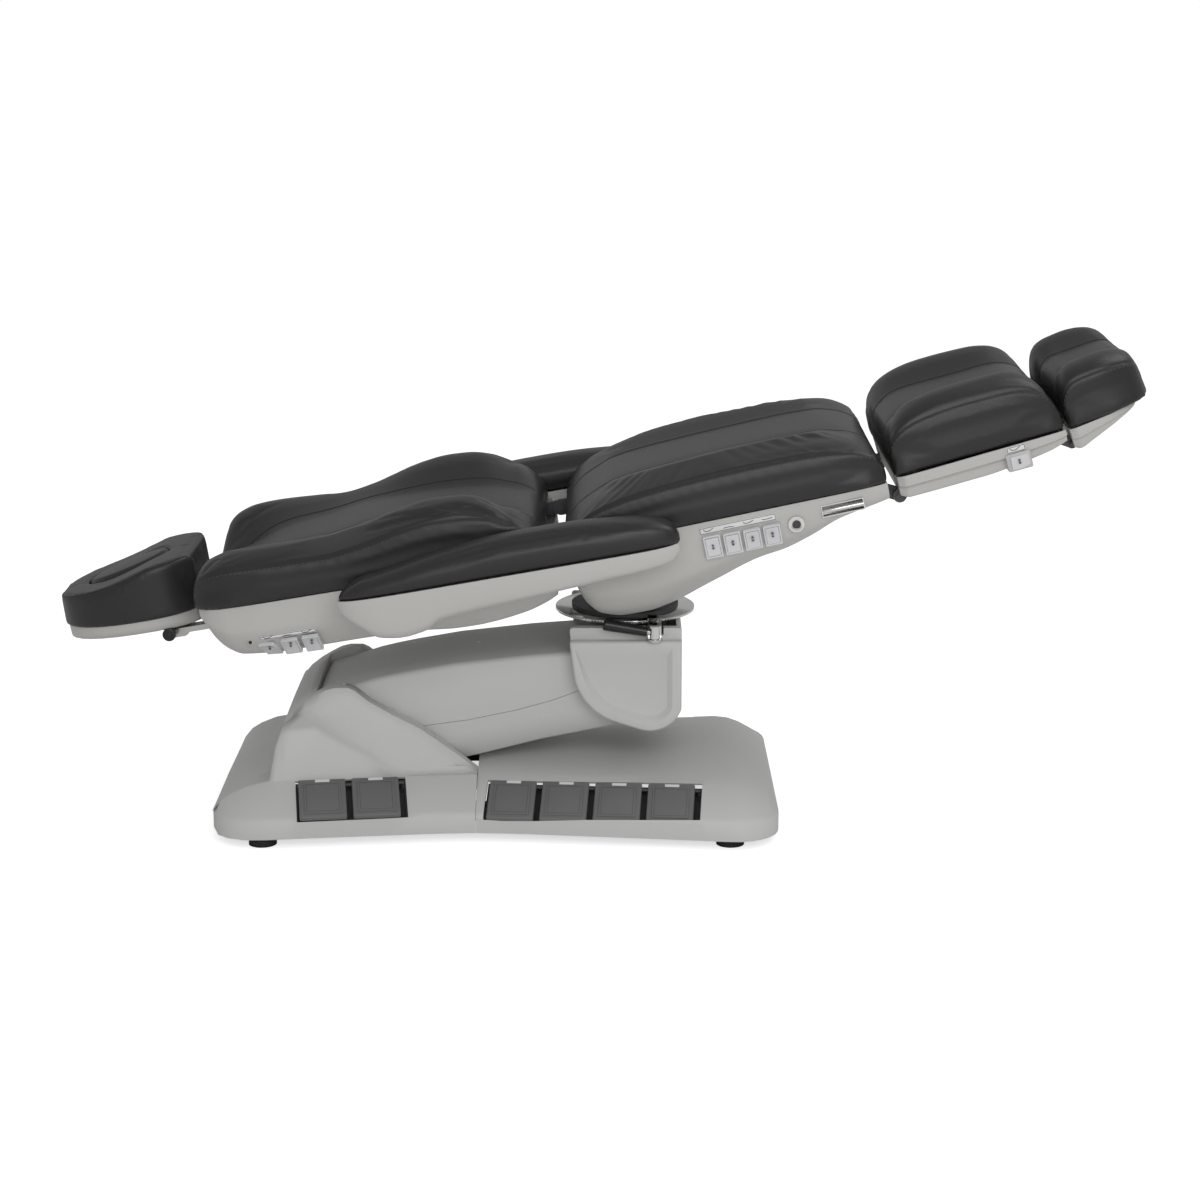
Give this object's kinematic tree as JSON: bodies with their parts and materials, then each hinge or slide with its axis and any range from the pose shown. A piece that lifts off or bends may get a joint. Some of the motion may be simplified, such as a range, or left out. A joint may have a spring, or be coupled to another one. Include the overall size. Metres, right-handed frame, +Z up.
{
  "type": "procedure table",
  "caption": "Powered procedure table on a parallelogram lift: turning, tilting seat, reclining back, arms, sliding headrest, folding leg and foot rests, foot pedals",
  "frame": {"origin": "middle of the footprint box, on the floor", "axes": "+X from the head end to the foot end, +Y from the near side to the far side, +Z up"},
  "size_m": [1.952, 0.776, 0.8676],
  "materials": {
    "upholstery": "dark grey upholstery hide, fine grain, satin",
    "pedal_rubber": "mid grey moulded rubber, matt",
    "tray_plastic": "black moulded plastic, matt",
    "switch_plastic": "white moulded plastic, satin",
    "shell_plastic": "pale grey moulded shell, satin",
    "cover_plastic": "pale grey moulded cover, fine satin",
    "foot_rubber": "black rubber",
    "chromed_steel": "bright chromed steel",
    "grip_plastic": "black moulded grip",
    "motor_black": "black painted motor housing",
    "bright_steel": "zinc plated steel",
    "frame_steel": "dark grey powder coated steel"
  },
  "bodies": {
    "base": {"base_frame": "frame_steel", "deck_cover": "cover_plastic", "tower_cover": "cover_plastic", "levelling_feet": "foot_rubber", "pedal_trays": "tray_plastic", "power_unit": "tray_plastic"},
    "lift": {"lift_arm": "frame_steel", "arm_covers": "cover_plastic"},
    "level_link": {"level_link": "frame_steel"},
    "lift_motor": {"lift_motor": "motor_black"},
    "lift_rod": {"lift_rod": "bright_steel"},
    "head": {"head_block": "frame_steel", "head_covers": "cover_plastic", "brake_caliper": "chromed_steel"},
    "brake_lever": {"brake_lever": "chromed_steel", "lever_grip": "grip_plastic"},
    "turntable": {"swivel_disc": "chromed_steel", "turntable_yoke": "frame_steel"},
    "seat": {"seat_frame": "frame_steel", "seat_shell": "shell_plastic", "seat_cushion": "upholstery", "seat_switch_bezels": "switch_plastic", "hand_control_socket": "chromed_steel", "side_handle": "chromed_steel", "seat_motors": "motor_black"},
    "back": {"back_frame": "frame_steel", "back_shell": "shell_plastic", "back_cushion": "upholstery", "back_switch_bezels": "switch_plastic"},
    "headrest_rails": {"headrest_rails": "bright_steel"},
    "headrest": {"headrest_bracket": "bright_steel", "headrest_shell": "shell_plastic", "headrest_cushion": "upholstery"},
    "face_plug": {"face_plug": "upholstery"},
    "leg_rails": {"leg_rails": "frame_steel"},
    "calf": {"calf_frame": "frame_steel", "calf_shell": "shell_plastic", "calf_cushion": "upholstery"},
    "foot": {"foot_shell": "shell_plastic", "foot_cushion": "upholstery"},
    "arm_near": {"arm_shell_near": "shell_plastic", "arm_pad_near": "upholstery"},
    "arm_far": {"arm_shell_far": "shell_plastic", "arm_pad_far": "upholstery"},
    "pedal_1": {"pedal_1": "pedal_rubber"},
    "pedal_2": {"pedal_2": "pedal_rubber"},
    "pedal_3": {"pedal_3": "pedal_rubber"},
    "pedal_4": {"pedal_4": "pedal_rubber"},
    "pedal_5": {"pedal_5": "pedal_rubber"},
    "pedal_6": {"pedal_6": "pedal_rubber"},
    "far_pedals_rear": {"far_pedals_rear": "pedal_rubber"},
    "far_pedals_front": {"far_pedals_front": "pedal_rubber"},
    "seat_switch_1": {"seat_switch_1": "switch_plastic"},
    "seat_switch_2": {"seat_switch_2": "switch_plastic"},
    "seat_switch_3": {"seat_switch_3": "switch_plastic"},
    "seat_switch_4": {"seat_switch_4": "switch_plastic"},
    "back_switch_1": {"back_switch_1": "switch_plastic"},
    "back_switch_2": {"back_switch_2": "switch_plastic"},
    "back_switch_3": {"back_switch_3": "switch_plastic"},
    "calf_switch": {"calf_switch": "switch_plastic"}
  },
  "joints": [
    {"name": "lift", "type": "hinge", "parent": "base", "child": "lift", "pos_m": [-0.4, 0, 0.235], "axis": [0, -1, 0], "range_deg": [0, 38]},
    {"name": "head_level", "type": "hinge", "parent": "lift", "child": "head", "pos_m": [0.065, 0, 0.285], "axis": [0, -1, 0], "range_deg": [-38.5, 0.5]},
    {"name": "link_level", "type": "hinge", "parent": "base", "child": "level_link", "pos_m": [-0.4, 0, 0.163], "axis": [0, -1, 0], "range_deg": [-0.5, 38.5]},
    {"name": "motor_swing", "type": "hinge", "parent": "base", "child": "lift_motor", "pos_m": [-0.34, 0, 0.088], "axis": [0, -1, 0], "range_deg": [-0.5, 29]},
    {"name": "rod_extend", "type": "slide", "parent": "lift_motor", "child": "lift_rod", "axis": [0.777, 0, 0.6295], "range_m": [-0.001, 0.0895]},
    {"name": "swivel", "type": "hinge", "parent": "head", "child": "turntable", "pos_m": [0.056, 0, 0.3735], "axis": [0, 0, 1], "range_deg": [-75, 50]},
    {"name": "seat_tilt", "type": "hinge", "parent": "turntable", "child": "seat", "pos_m": [0.05638, 0, 0.43976], "axis": [0, -1, 0], "range_deg": [-12, 2]},
    {"name": "back_recline", "type": "hinge", "parent": "seat", "child": "back", "pos_m": [-0.06398, 0, 0.51539], "axis": [0, 1, 0], "range_deg": [0, 50]},
    {"name": "headrest_slide", "type": "slide", "parent": "back", "child": "headrest_rails", "axis": [-0.9863, 0, -0.165], "range_m": [0, 0.1]},
    {"name": "headrest_tilt", "type": "hinge", "parent": "headrest_rails", "child": "headrest", "pos_m": [-0.76864, 0, 0.33968], "axis": [0, -1, 0], "range_deg": [0, 45]},
    {"name": "face_plug_lift", "type": "slide", "parent": "headrest", "child": "face_plug", "axis": [-0.165, 0, 0.9863], "range_m": [0, 0.13]},
    {"name": "leg_fold", "type": "hinge", "parent": "seat", "child": "leg_rails", "pos_m": [0.53893, 0, 0.61287], "axis": [0, -1, 0], "range_deg": [-60, 0]},
    {"name": "leg_extend", "type": "slide", "parent": "leg_rails", "child": "calf", "axis": [0.9636, 0, 0.2672], "range_m": [0, 0.1]},
    {"name": "foot_fold", "type": "hinge", "parent": "calf", "child": "foot", "pos_m": [0.8428, 0, 0.70337], "axis": [0, -1, 0], "range_deg": [-45, 0]},
    {"name": "arm_near", "type": "hinge", "parent": "back", "child": "arm_near", "pos_m": [-0.33731, -0.3, 0.42808], "axis": [0, -1, 0], "range_deg": [-15, 80]},
    {"name": "arm_far", "type": "hinge", "parent": "back", "child": "arm_far", "pos_m": [-0.33731, 0.3, 0.42808], "axis": [0, -1, 0], "range_deg": [-15, 80]},
    {"name": "brake_lever", "type": "hinge", "parent": "head", "child": "brake_lever", "pos_m": [0.108, -0.168, 0.3615], "axis": [0, 0, 1], "range_deg": [0, 70]},
    {"name": "pedal_1", "type": "hinge", "parent": "base", "child": "pedal_1", "pos_m": [-0.48393, -0.22394, 0.09416], "axis": [0.9917, 0.1288, 0], "range_deg": [0, 4], "stiffness_Nm_per_rad": 12, "springref_deg": -2.86},
    {"name": "pedal_2", "type": "hinge", "parent": "base", "child": "pedal_2", "pos_m": [-0.38972, -0.21171, 0.09416], "axis": [0.9917, 0.1288, 0], "range_deg": [0, 4], "stiffness_Nm_per_rad": 12, "springref_deg": -2.86},
    {"name": "pedal_3", "type": "hinge", "parent": "base", "child": "pedal_3", "pos_m": [-0.14207, -0.19957, 0.08416], "axis": [0.9969, -0.0785, 0], "range_deg": [0, 4], "stiffness_Nm_per_rad": 12, "springref_deg": -2.86},
    {"name": "pedal_4", "type": "hinge", "parent": "base", "child": "pedal_4", "pos_m": [-0.04736, -0.20703, 0.08416], "axis": [0.9969, -0.0785, 0], "range_deg": [0, 4], "stiffness_Nm_per_rad": 12, "springref_deg": -2.86},
    {"name": "pedal_5", "type": "hinge", "parent": "base", "child": "pedal_5", "pos_m": [0.04735, -0.21448, 0.08416], "axis": [0.9969, -0.0785, 0], "range_deg": [0, 4], "stiffness_Nm_per_rad": 12, "springref_deg": -2.86},
    {"name": "pedal_6", "type": "hinge", "parent": "base", "child": "pedal_6", "pos_m": [0.14205, -0.22193, 0.08416], "axis": [0.9969, -0.0785, 0], "range_deg": [0, 4], "stiffness_Nm_per_rad": 12, "springref_deg": -2.86},
    {"name": "far_pedals_rear", "type": "hinge", "parent": "base", "child": "far_pedals_rear", "pos_m": [-0.43683, 0.21782, 0.09416], "axis": [-0.9917, 0.1288, 0], "range_deg": [0, 4], "stiffness_Nm_per_rad": 24, "springref_deg": -2.86},
    {"name": "far_pedals_front", "type": "hinge", "parent": "base", "child": "far_pedals_front", "pos_m": [-0.00001, 0.21075, 0.08416], "axis": [-0.9969, -0.0785, 0], "range_deg": [0, 4], "stiffness_Nm_per_rad": 48, "springref_deg": -2.86},
    {"name": "seat_switch_1", "type": "hinge", "parent": "seat", "child": "seat_switch_1", "pos_m": [0.20607, -0.27687, 0.54374], "axis": [0.9781, 0.0064, 0.2079], "range_deg": [-5, 5], "stiffness_Nm_per_rad": 0.05},
    {"name": "seat_switch_2", "type": "hinge", "parent": "seat", "child": "seat_switch_2", "pos_m": [0.24054, -0.27652, 0.55033], "axis": [0.9779, 0.0206, 0.2079], "range_deg": [-5, 5], "stiffness_Nm_per_rad": 0.05},
    {"name": "seat_switch_3", "type": "hinge", "parent": "seat", "child": "seat_switch_3", "pos_m": [0.27502, -0.27514, 0.55687], "axis": [0.9775, 0.0364, 0.2078], "range_deg": [-5, 5], "stiffness_Nm_per_rad": 0.05},
    {"name": "seat_switch_4", "type": "hinge", "parent": "seat", "child": "seat_switch_4", "pos_m": [0.30918, -0.27429, 0.56403], "axis": [0.9779, 0.0203, 0.2079], "range_deg": [-5, 5], "stiffness_Nm_per_rad": 0.05},
    {"name": "back_switch_1", "type": "hinge", "parent": "back", "child": "back_switch_1", "pos_m": [-0.56933, -0.2455, 0.35304], "axis": [0.9314, -0.329, 0.1559], "range_deg": [-5, 5], "stiffness_Nm_per_rad": 0.05},
    {"name": "back_switch_2", "type": "hinge", "parent": "back", "child": "back_switch_2", "pos_m": [-0.53129, -0.25434, 0.3603], "axis": [0.9805, -0.1082, 0.1641], "range_deg": [-5, 5], "stiffness_Nm_per_rad": 0.05},
    {"name": "back_switch_3", "type": "hinge", "parent": "back", "child": "back_switch_3", "pos_m": [-0.49377, -0.25825, 0.36671], "axis": [0.9819, -0.0944, 0.1643], "range_deg": [-5, 5], "stiffness_Nm_per_rad": 0.05},
    {"name": "calf_switch", "type": "hinge", "parent": "calf", "child": "calf_switch", "pos_m": [0.74039, -0.22936, 0.68497], "axis": [-0.2608, -0.0758, 0.9624], "range_deg": [-5, 5], "stiffness_Nm_per_rad": 0.05}
  ],
  "couplings": [
    {"joint": "head_level", "follows": "lift", "ratio": -1},
    {"joint": "link_level", "follows": "lift", "ratio": 1},
    {"joint": "motor_swing", "follows": "lift", "ratio": 0.75174},
    {"joint": "rod_extend", "follows": "lift", "m_per_rad": 0.13385}
  ]
}
